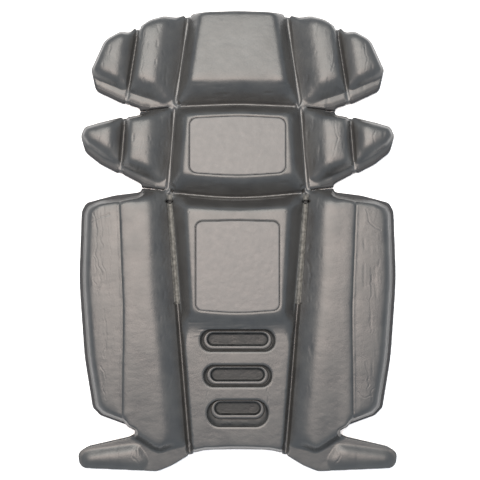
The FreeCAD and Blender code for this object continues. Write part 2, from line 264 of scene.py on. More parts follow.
# ---- outlines used by the relief ----
WING_PARTS = ("top_inner", "top_outer", "mid_inner", "mid_outer")
SIDE_PARTS = ("outer_panel", "ridge", "tail")
FRONT_NODES = {  # the nodes that each body's front ply stands for
    "top_center": ("top_block",), "mid_center": ("mid_block",), "main_center": ("main_block", "vent_plate"),
}
BACK_NODES = {  # and the node that its back ply stands for
    "top_center": "top_block_backing", "mid_center": "mid_block_backing", "main_center": "main_backing",
}
for side in SIGN:
    for part in WING_PARTS:
        FRONT_NODES[f"{side}_{part}"] = (f"{side}_{part}_lobe",)
        BACK_NODES[f"{side}_{part}"] = f"{side}_{part}_backing"
    FRONT_NODES[f"{side}_side"] = tuple(f"{side}_side_{part}" for part in SIDE_PARTS)
    BACK_NODES[f"{side}_side"] = f"{side}_side_backing"
PANEL_GAP, TAIL_GAP = 1.6, 4.0  # widest gaps that the front ply closes between a side's parts
NECKS = (  # part above and below, widest gap that is closed, and where the neck is
    ("top_inner", "mid_inner", 6.6, 74.0, 117.5), ("mid_inner", "side", 5.8, 76.0, 47.5),
)
NECK_SIZE, NECK_FADE = 18.0, 3.0  # radius in which a neck is closed, and how softly that ends
NECK_BLUR = 1.0  # rounding of the notch beside a neck
NECK_DEPTH = 8.0  # outside distances are cut off here before that blur
FRONT_CREASE, BACK_CREASE = 0.75, 0.45  # half the open crease left in a neck: room to fold
CHANNEL_EDGE = 0.1  # a closed neck stays this far out of the channel's web


def node_top(node):
    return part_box(node)[1].z / MM


def outline(node, z):
    return inside_distance(slice_loops(node, z)[0])


def union(*groups):
    """Field of all the shapes in some groups of fields."""
    return np.maximum.reduce([field for group in groups for field in group.values()])


def between(a, b, limit):
    """Distance field of the gap between two shapes where it is narrower than limit."""
    return (limit - np.maximum(-a, 0) - np.maximum(-b, 0)) / 2


def front_field(body):
    """Distance field of a body's front ply just above the parting plane."""
    parts = [outline(node, FRONT_SLICE_Z) for node in FRONT_NODES[body]]
    if body.endswith("_side"):
        panel, ridge, tail = parts
        parts += [between(panel, other, PANEL_GAP) for other in (ridge, tail)]
        parts.append(between(ridge, tail, TAIL_GAP))
    return np.maximum.reduce(parts)


def close_necks(fields, crease):
    """Let the bodies beside a narrow neck meet in a thin crease, with rounded notches."""
    for side, sign in SIGN.items():
        channel = [webs[f"{side}_{part}_channel_web"] for part in ("top", "mid", "slit")]
        open_channel = -(np.maximum.reduce(channel) + CHANNEL_EDGE)
        for upper, lower, limit, neck_x, neck_y in NECKS:
            a, b = fields[f"{side}_{upper}"], fields[f"{side}_{lower}"]
            joined = np.maximum(np.maximum(a, b), between(a, b, limit))
            joined = blurred(np.maximum(joined, -NECK_DEPTH), NECK_BLUR)
            middle = (a - b) / 2
            away = np.hypot(X - sign * neck_x, Y - neck_y)
            share = 1 - smoothstep(NECK_SIZE - NECK_FADE, NECK_SIZE, away)
            for body, field, half in ((upper, a, middle), (lower, b, -middle)):
                closed = np.minimum(np.minimum(joined, half - crease), np.maximum(open_channel, field))
                fields[f"{side}_{body}"] = mix(field, closed, share)


# Each web and the two bodies it joins; the first carries it in the CAD model.
WEBS = {"upper_fold_web": ("mid_center", "top_center"), "lower_fold_web": ("main_center", "mid_center")}
for side in SIGN:
    for row in ("top", "mid"):
        WEBS[f"{side}_{row}_channel_web"] = (f"{row}_center", f"{side}_{row}_inner")
    for stretch in ("slit", "low"):
        WEBS[f"{side}_{stretch}_channel_web"] = ("main_center", f"{side}_side")
    for row in ("top", "mid"):
        WEBS[f"{side}_{row}_lobe_web"] = (f"{side}_{row}_inner", f"{side}_{row}_outer")
WEB_SPREAD = 1.3  # a web's field reaches this far past its CAD strip
TOP_END, LOW_END = 170.0, -150.0  # beyond these heights a channel runs to the object's edge
LOW_REACH, CHANNEL_REACH, LOBE_REACH = 7.0, 5.3, 4.0  # widest gap closed by a web that ends there
SLIT_HALF, SLIT_TOP, SLIT_LOW = 3.0, 36.0, -58.0  # half width of the open slits, and their ends
SLIT_FADE = 2.0  # the slits narrow to nothing over this length
SLIT_NEAR, SLIT_FAR = 4.0, 6.0  # gap widths between which a slit's effect dies out

webs = {web: outline(web, WEB_SLICE_Z) + WEB_SPREAD for web in WEBS}
fronts = {body: front_field(body) for body in FRONT_NODES}
backs = {body: outline(node, SPLIT_Z / 2) for body, node in BACK_NODES.items()}


def open_slits():
    """Keep the front ply a little back from the raw strip along the slits."""
    above = smoothstep(SLIT_TOP, SLIT_TOP + SLIT_FADE, Y)
    along = smoothstep(SLIT_LOW - SLIT_FADE, SLIT_LOW, Y) * (1 - above)
    for side, sign in SIGN.items():
        middle, outer = fronts["main_center"], fronts[f"{side}_side"]
        gap = -np.minimum(middle, outer) - np.minimum(0, np.maximum(middle, outer))
        beside = along * smoothstep(-SLIT_FAR, -SLIT_NEAR, -gap)
        off_line = (middle - outer) / 2
        cut = (1 - beside) * FAR
        own_side = np.where(sign * X > 0, 0, FAR)
        fronts["main_center"] = np.minimum(middle, off_line - SLIT_HALF + cut + own_side)
        fronts[f"{side}_side"] = np.minimum(outer, -off_line - SLIT_HALF + cut + own_side)


def trim_web_ends():
    """Stop each web that reaches the object's edge level with the bodies beside it."""
    for web, (a, b) in WEBS.items():
        lobe = "lobe" in web
        reach = LOBE_REACH if lobe else np.where(Y < LOW_END, LOW_REACH, CHANNEL_REACH)
        closed = np.maximum(between(fronts[a], fronts[b], reach), between(backs[a], backs[b], reach))
        ends = lobe | (Y > TOP_END) | (Y < LOW_END)
        webs[web] = np.where(ends, np.minimum(webs[web], closed), webs[web])


trim_web_ends()
open_slits()


# ---- the relief ----
CREST_BLUR = {  # softness of the crests of the nodes moulded as one
    ("top_block",): 2.2, ("mid_block",): 2.0, ("main_block", "vent_plate"): 1.8,
    ("top_inner_lobe",): 2.8, ("top_outer_lobe",): 2.6, ("mid_inner_lobe",): 2.6, ("mid_outer_lobe",): 2.4,
    ("side_outer_panel", "side_ridge", "side_tail"): 1.5,
}
FOOT_BLUR = 1.1  # softness at the feet of all blocks
SOFT_FROM, SOFT_TO = 8.5, 14.0  # between these heights the foot's blur gives way to the crest's
STYLES = {  # low slice, crown, its reach, exponent of the slope, growth of foot and of top
    "top_block": (7.0, 0.5, 9.0, 1.15, 0.8, 0.3), "mid_block": (7.0, 0.2, 9.0, 1.15, 0.8, 0.3),
    "main_block": (15.0, 0.2, 9.0, 1.15, 0.0, 0.3), "vent_plate": (7.4, 0.3, 9.0, 1.0, 0.6, 1.2),
    "top_inner_lobe": (7.0, 1.6, 12.0, 1.05, 2.4, 1.0), "top_outer_lobe": (7.0, 1.6, 10.0, 1.05, 2.4, 1.2),
    "mid_inner_lobe": (7.0, 1.7, 12.0, 1.05, 2.2, 1.0), "mid_outer_lobe": (7.0, 1.6, 10.0, 1.05, 2.0, 1.2),
    "side_outer_panel": (7.4, 0.5, 9.0, 1.3, 1.5, 0.3), "side_ridge": (7.4, 0.6, 9.0, 1.4, 0.5, 0.5),
    "side_tail": (6.8, 0.9, 9.0, 1.1, -0.6, 0.8),
}
TOP_SLICE = 0.25  # the top outline is read this far under a block's top
FOOT_REACH, TOP_REACH = 14.0, 24.0  # how far the foot and top outlines are measured
FAR_SHARE = 3.0  # a slope runs on to this many times its own width
LOW_SIDE = 0.9  # how much of its foot's growth a lobe loses on the side that faces down
LEAN = 0.75  # how much more an inner lobe's crown falls towards the channel than away from it
PLATE_RISE = 14.0  # the vent plate runs on this far under the main block
PLATE_NARROWING = 0.9  # and is that much narrower there
RIDGE_EXTENSION = 12.0  # the ridges' level top runs on this far towards the foot
RIDGE_SHIFT = 1.5  # and that far towards the spine
NARROWEST = 0.3  # no slope is narrower


def block_outline(node, z):
    """A block's outline; the vent plate's runs on, narrower, under the main block."""
    loop = slice_loops(node, z)[0]
    if node == "vent_plate":
        cut = loop[:, 1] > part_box(node)[1].y / MM - 0.5
        loop = np.where(cut[:, None], loop * (PLATE_NARROWING, 1) + (0, PLATE_RISE), loop)
    return loop


def block_height(node, style):
    """Height of one block: level inside its top outline, falling to its foot outline and beyond."""
    low_z, crown, crown_reach, power, foot_growth, top_growth = style
    top_z = node_top(node) - TOP_SLICE
    base = inside_distance(block_outline(node, low_z), FOOT_REACH)
    if "lobe" in node:
        foot_growth = foot_growth * (1 - LOW_SIDE * facing_down(base, 0.2))
    base = base + foot_growth
    top = inside_distance(block_outline(node, top_z), TOP_REACH) + top_growth
    if "ridge" in node:
        shift = (-SIGN[node.split("_")[0]] * RIDGE_SHIFT, -RIDGE_EXTENSION)
        top = np.maximum(top, inside_distance(block_outline(node, top_z) + shift, TOP_REACH) + top_growth)
    outside = np.maximum(-top, 0)
    share = outside / np.maximum(outside + base, NARROWEST)
    share = np.where(base <= 1 - FOOT_REACH, FAR_SHARE, np.clip(share, 0, FAR_SHARE))
    fall = np.where(share < 1, share ** power, 1 + power * (share - 1))
    if "inner_lobe" in node:
        low_corner, high_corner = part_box(node)
        middle, half = (low_corner.x + high_corner.x) / 2 / MM, (high_corner.x - low_corner.x) / 2 / MM
        crown = crown * (1 + LEAN * np.clip((abs(middle) - np.abs(X)) / half, -1, 1))
    dome = crown * (1 - np.clip(top / crown_reach, 0, 1)) ** 2
    return node_top(node) - dome - (top_z - low_z - crown) * fall


PLATE_CRISPNESS = 0.8  # how much of the softness the vent plate's edges lose
PLATE_TOP, PLATE_LOW = -86.0, -94.0  # between these heights that begins
SLOPE_END, SLOPE_HALF, SLOPE_BLUR = -79.0, 6.0, 4.2  # the main block runs out softly into the vent plate
TAIL_HIGH, TAIL_LOW, TAIL_BLUR = -152.0, -166.0, 2.6  # the side panels are softer at their lower ends
SPINE_BLUR, SPINE_NEAR, SPINE_FAR = 3.0, 86.0, 96.0  # and so is the ridge's crest beside the channel
DESCENT_TOP, DESCENT_LOW, DESCENT = -100.0, -184.0, 0.12  # the ridges sink by this share of their height
DESCENT_NEAR, DESCENT_FAR = 88.0, 100.0  # inside of these distances from the spine line


def softened(group, names, crest_blur):
    """One moulded group of blocks with soft feet and crests."""
    low, high = blurred(group, FOOT_BLUR), blurred(group, crest_blur)
    height_share = smoothstep(SOFT_FROM, SOFT_TO, low)
    if "vent_plate" in names:
        height_share = height_share * (1 - PLATE_CRISPNESS * smoothstep(-PLATE_TOP, -PLATE_LOW, -Y))
    result = mix(low, high, height_share)
    if "vent_plate" in names:
        result = mix(result, blurred(group, SLOPE_BLUR), np.exp(-((Y - SLOPE_END) / SLOPE_HALF) ** 2))
    if "side_tail" in names:
        ridge_side = 1 - smoothstep(SPINE_NEAR, SPINE_FAR, np.abs(X))
        result = mix(result, blurred(group, SPINE_BLUR), ridge_side)
        result = mix(result, blurred(group, TAIL_BLUR), 1 - smoothstep(TAIL_LOW, TAIL_HIGH, Y))
        descent = DESCENT * np.clip((DESCENT_TOP - Y) / (DESCENT_TOP - DESCENT_LOW), 0, 1)
        near_spine = 1 - smoothstep(DESCENT_NEAR, DESCENT_FAR, np.abs(X))
        result = result - np.maximum(result - FLANGE_Z, 0) * descent * near_spine
    return result


def all_blocks():
    relief = np.full(X.shape, FLANGE_Z)
    for names, crest_blur in CREST_BLUR.items():
        for prefix in ("",) if names[0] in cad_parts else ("left_", "right_"):
            group = np.maximum.reduce([block_height(prefix + name, STYLES[name]) for name in names])
            relief = np.maximum(relief, softened(np.maximum(group, FLANGE_Z - 1), names, crest_blur))
    return relief


GROOVES = {  # bottom height, half width of the flat bottom, half width at the top of its walls
    "fold_web": (4.7, 0.7, 2.2), "top_channel_web": (4.8, 1.3, 3.0), "mid_channel_web": (4.8, 1.1, 2.9),
    "slit_channel_web": (SLIT_Z, SLIT_HALF, 3.5), "low_channel_web": (4.9, 0.0, 2.6),
    "lobe_web": (5.0, 0.0, 2.3),
}
GROOVE_NEAR, GROOVE_END = 3.2, 5.0  # distances outside both bodies between which a groove dies out
V_SHARE = {"lobe": 0.5, "low_channel": 0.85}  # how much of a plain V is mixed into a groove
LIP_HEIGHT, LIP_LINE, LIP_HALF = 0.9, 4.0, 0.45  # thin raised lips along the slits
FOLD_ENDS = {"upper_fold_web": (51.0, 120.9), "lower_fold_web": (56.8, 43.0)}
FOLD_FADE = 1.5  # a cross fold dies out over this length
BULB, BULB_Z = 2.7, SPLIT_Z + 0.3  # radius of the round end of a cross fold, and its height
PINCHES = {"top_channel_web": 165.0, "mid_channel_web": 88.0}  # where the lobes crowd a channel
PINCH, PINCH_TOP = 1.1, 0.88  # how much narrower the channel is there, at its bottom and top
PINCH_HALF, PINCH_END = 8.0, 30.0  # the pinch is whole inside the one and gone beyond the other


def carve_groove(relief, web):
    """Press a groove along the middle line between the two bodies that a web joins."""
    a, b = (fronts[body] for body in WEBS[web])
    depth_z, flat, width = next(size for ending, size in GROOVES.items() if web.endswith(ending))
    for ending, pinch_y in PINCHES.items():
        if web.endswith(ending):
            pinched = 1 - smoothstep(PINCH_HALF, PINCH_END, np.abs(Y - pinch_y))
            flat, width = flat - PINCH * pinched, width - PINCH_TOP * pinched
    off_line = np.abs(a - b) / 2
    near = 1 - smoothstep(GROOVE_NEAR, GROOVE_END, np.maximum(-a, -b))
    if web in FOLD_ENDS:
        end_x, end_y = FOLD_ENDS[web]
        near = near * (1 - smoothstep(end_x, end_x + FOLD_FADE, np.abs(X)))
        bulb = 1 - smoothstep(BULB / 2, BULB, np.hypot(np.abs(X) - end_x, Y - end_y))
        relief = mix(relief, np.minimum(relief, BULB_Z), bulb)
    if "slit" in web:
        relief = relief + LIP_HEIGHT * np.exp(-((off_line - LIP_LINE) / LIP_HALF) ** 2) * near
    press = 1 - smoothstep(flat, width, off_line)
    for kind, share in V_SHARE.items():
        if kind in web:
            press = mix(press, np.clip(1 - off_line / width, 0, 1), share)
    return mix(relief, np.minimum(relief, depth_z), press * near)


STEP_DEPTH, STEP_HALF = 0.9, 0.7  # the groove between each ridge and outer panel
STEP_NEAR, STEP_END = 1.0, 2.2  # distances outside both between which it dies out


def carve_step_grooves(relief):
    for side in SIGN:
        panel, ridge = (outline(f"{side}_side_{part}", FRONT_SLICE_Z) for part in SIDE_PARTS[:2])
        off_line = np.abs(panel - ridge) / 2
        near = 1 - smoothstep(STEP_NEAR, STEP_END, np.maximum(-panel, -ridge))
        relief = relief - STEP_DEPTH * np.exp(-(off_line / STEP_HALF) ** 2) * near
    return relief


VALLEY, VALLEY_WIDTH, VALLEY_FADE = 2.2, 1.6, 6.0  # depth and half width of the valley at a neck
VALLEY_Z = SPLIT_Z + 0.2  # and its lowest height


def carve_necks(relief):
    """Let the front ply sink softly towards the crease between two bodies at a neck."""
    for side, sign in SIGN.items():
        for upper, lower, limit, neck_x, neck_y in NECKS:
            a, b = fronts[f"{side}_{upper}"], fronts[f"{side}_{lower}"]
            away = np.hypot(X - sign * neck_x, Y - neck_y)
            near = 1 - smoothstep(NECK_SIZE - VALLEY_FADE, NECK_SIZE, away)
            near = near * smoothstep(-limit, -limit / 2, np.maximum(np.minimum(a, b), between(a, b, limit)))
            valley = np.exp(-((a - b) / 2 / VALLEY_WIDTH) ** 2) * near
            relief = relief - np.minimum(VALLEY, np.maximum(relief - VALLEY_Z, 0)) * valley
    return relief


relief = carve_necks(carve_step_grooves(all_blocks()))
for web in WEBS:
    relief = carve_groove(relief, web)


# ---- small marks of the moulding ----
PATCH_CORE, PATCH_EDGE = 0.7, 1.25  # a patch is whole and gone at these shares of its size


def pressed_patch(relief, x, y, half_x, half_y, z):
    """A small flat pressed into the relief on both sides of the mirror plane."""
    away = np.hypot((np.abs(X) - x) / half_x, (Y - y) / half_y)
    return mix(relief, np.minimum(relief, z), 1 - smoothstep(PATCH_CORE, PATCH_EDGE, away))


PATCHES = (  # x, y, half sizes and height of each small flat
    (66.5, 119.2, 2.6, 1.8, 5.9), (67.5, 45.4, 2.6, 1.8, 5.9), (43.0, 24.6, 0.7, 0.7, 20.5),
    (61.4, 35.6, 2.9, 1.7, 1.6), (55.2, -56.0, 1.6, 0.8, 3.0),
)
for patch in PATCHES:
    relief = pressed_patch(relief, *patch)

WARP = 0.6  # how far a crease wavers
warp_x, warp_y = WARP * grain(SEED + 1, 2.0, 2.0), WARP * grain(SEED + 2, 2.0, 2.0)
CREASES = {  # depth and half width, and the points of each crease line
    (0.17, 0.55): (((-127.5, 24), (-124.5, 4), (-126, -12), (-121, -30), (-123, -48)),),
    (0.17, 0.60): (((-131, 17), (-123, 19.5), (-114, 24)),),
    (0.15, 0.50): (((-122, 26), (-119.5, 8), (-121.5, -14), (-117, -34)),),
    (0.15, 0.55): (
        ((26.6, -129), (27.6, -143), (25.4, -158)), ((-92, -186), (-95, -192), (-90, -199)),
        ((-88, -185), (-89.5, -193), (-86, -200)), ((-113, 172), (-114.5, 162), (-112, 152)),
    ),
    (0.13, 0.50): (
        ((-128.5, -14), (-125.5, -26), (-128, -36), (-124, -44)), ((90, -186), (92.5, -194), (88, -200)),
        ((113.6, 27), (117, 17), (122, 11), (127, 7.6)), ((112, -108), (117, -120), (115, -132), (119, -142)),
        ((-83, 186), (-85, 168), (-83.6, 152), (-86, 142)), ((84, 184), (86, 166), (84, 150)),
        ((112, 174), (115, 162), (113.6, 150)), ((-124, 100), (-121, 94), (-123, 88)),
        ((122, 100), (119.6, 92), (121, 86)),
    ),
    (0.12, 0.50): (
        ((-121, -112), (-117.5, -122), (-120, -132), (-116.5, -141)), ((86, 106), (88, 90), (86, 74)),
        ((106, -136), (111, -140), (118, -138), (124, -128)), ((-86, 106), (-84.6, 92), (-86.6, 74)),
    ),
    (0.11, 0.50): (((-118, -62), (-117, -84), (-118.6, -104)), ((-106, -189), (-107.5, -198))),
    (0.11, 0.45): (((-27.4, -97), (-27, -112)), ((28.6, -97), (28.2, -112))),
    (0.10, 0.45): (
        ((-114.5, 12), (-113.4, -20), (-114.6, -52)), ((119, -30), (117.6, -56), (118.8, -82)),
        ((-27, -129), (-27.2, -142)),
    ),
}
CREASE_REACH = 6.0  # a crease shapes the relief this far from its points
LIP_SHARE, LIP_PLACE = 0.35, 2.2  # a crease's lips: share of its depth, and distance in half widths


def crease(relief, depth, half_width, points):
    """A shallow wavering crease along a few points."""
    points = np.array(points, float)
    where = window(points, CREASE_REACH)
    px, py = X[where] + warp_x[where], Y[where] + warp_y[where]
    nearest = np.minimum.reduce([segment_distance(px, py, a, b) for a, b in zip(points, points[1:])])
    lip = LIP_SHARE * depth * np.exp(-((nearest - LIP_PLACE * half_width) / half_width) ** 2)
    relief[where] += lip - depth * np.exp(-(nearest / half_width) ** 2)
    return relief


for (depth, half_width), lines in CREASES.items():
    for points in lines:
        relief = crease(relief, depth, half_width, points)


DIP_FROM, SWELL_FROM, WHOLE = 0.9, 1.0, 2.4  # where wrinkles start in the noise, and are whole
SWELL = 0.4  # the swellings beside them, as a share of their depth


def wrinkles(seed, sigma_x, sigma_y, depth, mask):
    """Sparse creases, longer than wide, where the mask says."""
    field = grain(seed, sigma_x, sigma_y)
    dips, swellings = smoothstep(DIP_FROM, WHOLE, field), smoothstep(SWELL_FROM, WHOLE, -field)
    return (SWELL * swellings - dips) * depth * mask


# Where wrinkles form: soft masks, by distance from the spine line and by height on the object.
slope_y, slope_x = np.gradient(blurred(relief, 1.0), GRID)
sloping = smoothstep(0.25, 0.8, np.hypot(slope_x, slope_y)) * (relief > FLANGE_Z + 0.8)
beside_channel = smoothstep(54, 66, np.abs(X)) * (1 - smoothstep(88, 96, np.abs(X)))
on_lobes = (Y > 48) * smoothstep(62, 72, np.abs(X))
on_blocks = np.abs(X) < 46
under_main = np.exp(-((Y + 78) / 7) ** 2) * (np.abs(X) < 44)
on_panels = smoothstep(100, 108, np.abs(X)) * (Y < 40)
WRINKLES = (  # step of the seed, blotch width and height, depth, and where
    (3, 0.75, 3.0, 0.3, sloping * beside_channel), (10, 0.75, 2.4, 0.3, sloping * beside_channel),
    (4, 0.7, 3.0, 0.16, on_lobes), (5, 5.0, 0.75, 0.6, under_main),
    (6, 5.0, 0.8, 0.25, sloping * on_blocks), (7, 0.8, 5.0, 0.12, on_panels),
)
for step, width, height, depth, mask in WRINKLES:
    relief = relief + wrinkles(SEED + step, width, height, depth, mask)
UNEVENNESS = ((8, 0.03, 6.0, 6.0), (9, 0.012, 2.2, 1.0))  # step of the seed, height, blotch sizes
for step, rise, width, height in UNEVENNESS:
    relief = relief + rise * grain(SEED + step, width, height)
close_necks(fronts, FRONT_CREASE)
close_necks(backs, BACK_CREASE)
CORNER_FILL = 4.2  # radius round each crossing of the grooves that the webs fill
CROSSINGS = (("_mid_channel_web", 59.5, 119.5), ("_slit_channel_web", 63.0, 44.5))
for side, sign in SIGN.items():
    for web, cross_x, cross_y in CROSSINGS:
        crossing = CORNER_FILL - np.hypot(X - sign * cross_x, Y - cross_y)
        webs[side + web] = np.maximum(webs[side + web], crossing)


# ---- rims and openings ----
RIM_SLOPE = 12.0  # steepness inside the rim's radius, where the blocks' own slopes take over
RIM_REACH = 8.0  # distances from the outline are exact up to here
RIM_FOOT = 0.3  # the front ply's rim starts this far above the parting plane
WING_RIM, PANEL_RIM = 4.5, 2.4  # radii of the front ply's rim under the wings and elsewhere
RIM_RISE, RIM_TILT = 1.3, 0.35  # how far the rim rises above the flange where no flange shows
FLANGE_SINK, FLANGE_TILT = 0.9, 0.30  # the flange under the wings slopes down to its outline
WING_X, WING_Y = (50, 62), (44, 52)  # the flange shows beyond these places, and begins softly
RIM_BLUR = 0.8  # softness of the bend where the rim ends
BLUR_START, BLUR_END = (0.5, 1.5), (6.0, 7.5)  # distances from the outline where that comes and goes


def rim_profile(distance, edge_z, full_z, radius):
    """Height of a rounded rim: edge_z on the outline, full_z one radius inside it, then steep."""
    share = np.clip(distance / radius, 0, 1)
    rounded = edge_z + (full_z - edge_z) * np.sqrt(1 - (1 - share) ** 2)
    return rounded + RIM_SLOPE * np.maximum(distance - radius, 0)


front_union = true_distance(union(fronts, webs), RIM_REACH)
back_union = true_distance(union(backs, webs))
under_wing = smoothstep(*WING_X, np.abs(X)) * smoothstep(*WING_Y, Y) * facing_down(front_union, 0.25)
rim_radius = mix(PANEL_RIM, WING_RIM, under_wing)
rim_full_z = FLANGE_Z + mix(RIM_RISE, -FLANGE_SINK, under_wing)
rim = rim_profile(front_union, SPLIT_Z + RIM_FOOT, rim_full_z, rim_radius)
rim = rim + mix(RIM_TILT, FLANGE_TILT, under_wing) * np.maximum(front_union, 0)
relief = np.minimum(relief, rim)
rim_band = smoothstep(*BLUR_START, front_union) * (1 - smoothstep(*BLUR_END, front_union))
relief = mix(relief, blurred(relief, RIM_BLUR), rim_band)

LEDGE_Z = 9.5  # the step inside the vent slots
POCKET_DEPTH = 2.6  # depth of the pockets under the inlays
INLAY_GAP = 0.3  # open line round each inlay
INLAY_SLICE, MOUTH_SLICE = 1.0, 0.15  # their outlines are read this far under their tops
EDGE_SINK, EDGE_WIDTH = 0.45, 0.55  # the surface sinks a little towards each opening
INLAYS = {"mid_center": "mid_inlay", "main_center": "main_inlay"}


def inlay_field(node):
    return outline(node, node_top(node) - INLAY_SLICE)


inlay_rims = {body: inlay_field(node) + INLAY_GAP for body, node in INLAYS.items()}
mouth_loops = slice_loops("vent_plate", node_top("vent_plate") - MOUTH_SLICE)[1:]
mouths = [inside_distance(loop) for loop in mouth_loops]
for field in list(inlay_rims.values()) + mouths:
    relief = relief - EDGE_SINK * np.exp(-(np.maximum(-field, 0) / EDGE_WIDTH) ** 2)


# ---- closed meshes ----
def placed(name, data):
    """A new object in the scene."""
    item = bpy.data.objects.new(name, data)
    bpy.context.scene.collection.objects.link(item)
    return item


class Shell:
    """Points and faces of one closed piece in the making."""

    def __init__(self, sheet):
        self.points = [sheet.points]
        self.count = len(sheet.points)
        self.faces = list(sheet.faces)
        self.top_faces = len(self.faces)
        self.flat_faces = []
        # faces that get the near-black material which paints the shade in deep slots
        self.gets_painted_shade = set()

    def ring(self, points):
        """Add a ring of points and return their numbers."""
        self.points.append(np.asarray(points, float))
        self.count += len(points)
        return list(range(self.count - len(points), self.count))

    def wall(self, upper, lower, gets_painted_shade=False):
        """A band of faces between two rings."""
        for k in range(len(upper)):
            n = (k + 1) % len(upper)
            self.faces.append([upper[n], upper[k], lower[k], lower[n]])
            if gets_painted_shade:
                self.gets_painted_shade.add(tuple(self.faces[-1]))

    def cap(self, loops, up, gets_painted_shade=False):
        """Fill flat loops with triangles that face up or down."""
        points = np.vstack(self.points)
        order = [number for loop in loops for number in loop]
        for triangle in tessellate_polygon([[Vector(points[number]) for number in loop] for loop in loops]):
            a, b, c = (order[k] for k in triangle)
            (ax, ay, _), (bx, by, _), (cx, cy, _) = points[a], points[b], points[c]
            rising = (bx - ax) * (cy - ay) - (by - ay) * (cx - ax) > 0
            self.flat_faces.append([a, b, c] if rising == up else [a, c, b])
            if gets_painted_shade:
                self.gets_painted_shade.add(tuple(self.flat_faces[-1]))

    def piece(self, name):
        """The finished object, smooth except for its flat caps."""
        mesh = bpy.data.meshes.new(name)
        mesh.from_pydata((np.vstack(self.points) * MM).tolist(), [], self.faces + self.flat_faces)
        smooth = np.arange(len(mesh.polygons)) < len(self.faces)
        mesh.polygons.foreach_set("use_smooth", smooth)
        return placed(name, mesh)


def paint_slot_shade(piece, shell):
    """Give the faces noted for painted shade the near-black material that paints the shade in the slots."""
    if shell.gets_painted_shade:
        piece.data.materials.append(painted_shade_material)
        numbers = [int(tuple(face) in shell.gets_painted_shade) for face in shell.faces + shell.flat_faces]
        piece.data.polygons.foreach_set("material_index", numbers)


def sampled(grid, x, y):
    """Value of a grid at free points, interpolated."""
    column, row = (x - axis_x[0]) / GRID, (y - axis_y[0]) / GRID
    c, r = np.floor(column).astype(int), np.floor(row).astype(int)
    u, v = column - c, row - r
    return ((grid[r, c] * (1 - u) + grid[r, c + 1] * u) * (1 - v)
            + (grid[r + 1, c] * (1 - u) + grid[r + 1, c + 1] * u) * v)


def relief_normals(piece, top_faces, height):
    """Give the moulded surface the normals of the whole relief, to meet its neighbours seamlessly."""
    mesh = piece.data
    slope_y, slope_x = np.gradient(height, GRID)
    corner_total = mesh.polygons[top_faces].loop_start
    vertices = np.zeros(len(mesh.loops), np.int32)
    mesh.loops.foreach_get("vertex_index", vertices)
    points = np.zeros(len(mesh.vertices) * 3, np.float32)
    mesh.vertices.foreach_get("co", points)
    x, y = points.reshape(-1, 3)[vertices[:corner_total], :2].T / MM
    normals = np.zeros((len(mesh.loops), 3))
    upward = np.column_stack([-sampled(slope_x, x, y), -sampled(slope_y, x, y), np.ones(len(x))])
    normals[:corner_total] = upward / np.linalg.norm(upward, axis=1)[:, None]
    mesh.normals_split_custom_set(normals.tolist())


def at_height(points, z):
    return np.column_stack([points[:, :2], np.full(len(points), z)])


# ---- openings of the front ply ----
def slot_shape(loop):
    """Centre, half length and half height of a slot's outline."""
    low_corner, high_corner = loop.min(0), loop.max(0)
    return (low_corner + high_corner) / 2, *((high_corner - low_corner) / 2)


def onto_slot(points, own, target, inset):
    """Carry the points of one slot outline to the matching places on another, moved inwards."""
    centre, length, height = own
    new_centre, new_length, new_height = target
    offset = points[:, :2] - centre
    along = np.clip(offset[:, 0], height - length, length - height)
    away = offset - np.column_stack([along, np.zeros(len(along))])
    away /= np.linalg.norm(away, axis=1)[:, None]
    new_along = along / (length - height) * (new_length - new_height)
    spine = np.column_stack([new_along, np.zeros(len(along))]) + new_centre
    return spine + away * (new_height - inset)


SLOT_RINGS = (  # height, outline it follows, distance inside that outline, painted shade or not
    (12.9, "mouth", 0.35, False), (11.0, "mouth", 0.7, False), (LEDGE_Z, "mouth", 1.0, False),
    (LEDGE_Z - 0.9, "ledge", -0.3, True), (LEDGE_Z - 0.9, "ledge", 0.1, True),
    (LEDGE_Z + 0.1, "ledge", 0.45, False), (LEDGE_Z + 0.58, "ledge", 1.0, False),
    (LEDGE_Z + 0.40, "pocket", -1.0, False), (LEDGE_Z + 0.2, "pocket", -0.3, False),
    (LEDGE_Z - 0.5, "pocket", 0.1, True), (LEDGE_Z - 1.4, "pocket", 0.3, True), (6.0, "pocket", 0.4, True),
    (5.4, "pocket", 1.0, True), (5.2, "pocket", 2.0, True),
)
POCKET_SHIFT = 0.8  # the raised ring is wider along its lower side
SLOT_SLICES = {"mouth": node_top("vent_plate") - MOUTH_SLICE, "ledge": LEDGE_Z + 0.2, "pocket": LEDGE_Z - 0.5}


def line_slot(shell, loop, points):
    """Walls, ledge and floor of one vent slot, from the loop where it cuts the moulded surface."""
    centre = points[:, :2].mean(0)

    def nearest_slot(name):
        slots = [slot_shape(edge) for edge in slice_loops("vent_plate", SLOT_SLICES[name])[1:]]
        return min(slots, key=lambda slot: np.hypot(*(slot[0] - centre)))

    outlines = {name: nearest_slot(name) for name in SLOT_SLICES}
    upper = loop
    for z, name, inset, gets_painted_shade in SLOT_RINGS:
        ring = at_height(onto_slot(points, outlines["mouth"], outlines[name], inset), z)
        if name == "pocket":
            ring = ring + (0, POCKET_SHIFT, 0)
        lower = shell.ring(ring)
        shell.wall(upper, lower, gets_painted_shade)
        upper = lower
    # the floor of each slot gets painted shade, like its deep rings
    shell.cap([upper], up=True, gets_painted_shade=True)


def line_pocket(shell, loop, points):
    """Walls and floor of the shallow pocket under an inlay."""
    lower = shell.ring(at_height(points, points[:, 2].max() - POCKET_DEPTH))
    shell.wall(loop, lower)
    shell.cap([lower], up=True)


# ---- pieces ----
OPENING_EDGE = 1.0  # an opening's edge is at least this far from the piece's outline


def finished(piece, material, nodes):
    """Give the piece its material and hide the CAD nodes it stands for; a piece that has its materials
    already is given None.
    """
    if material:
        piece.data.materials.append(material)
    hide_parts(*nodes)


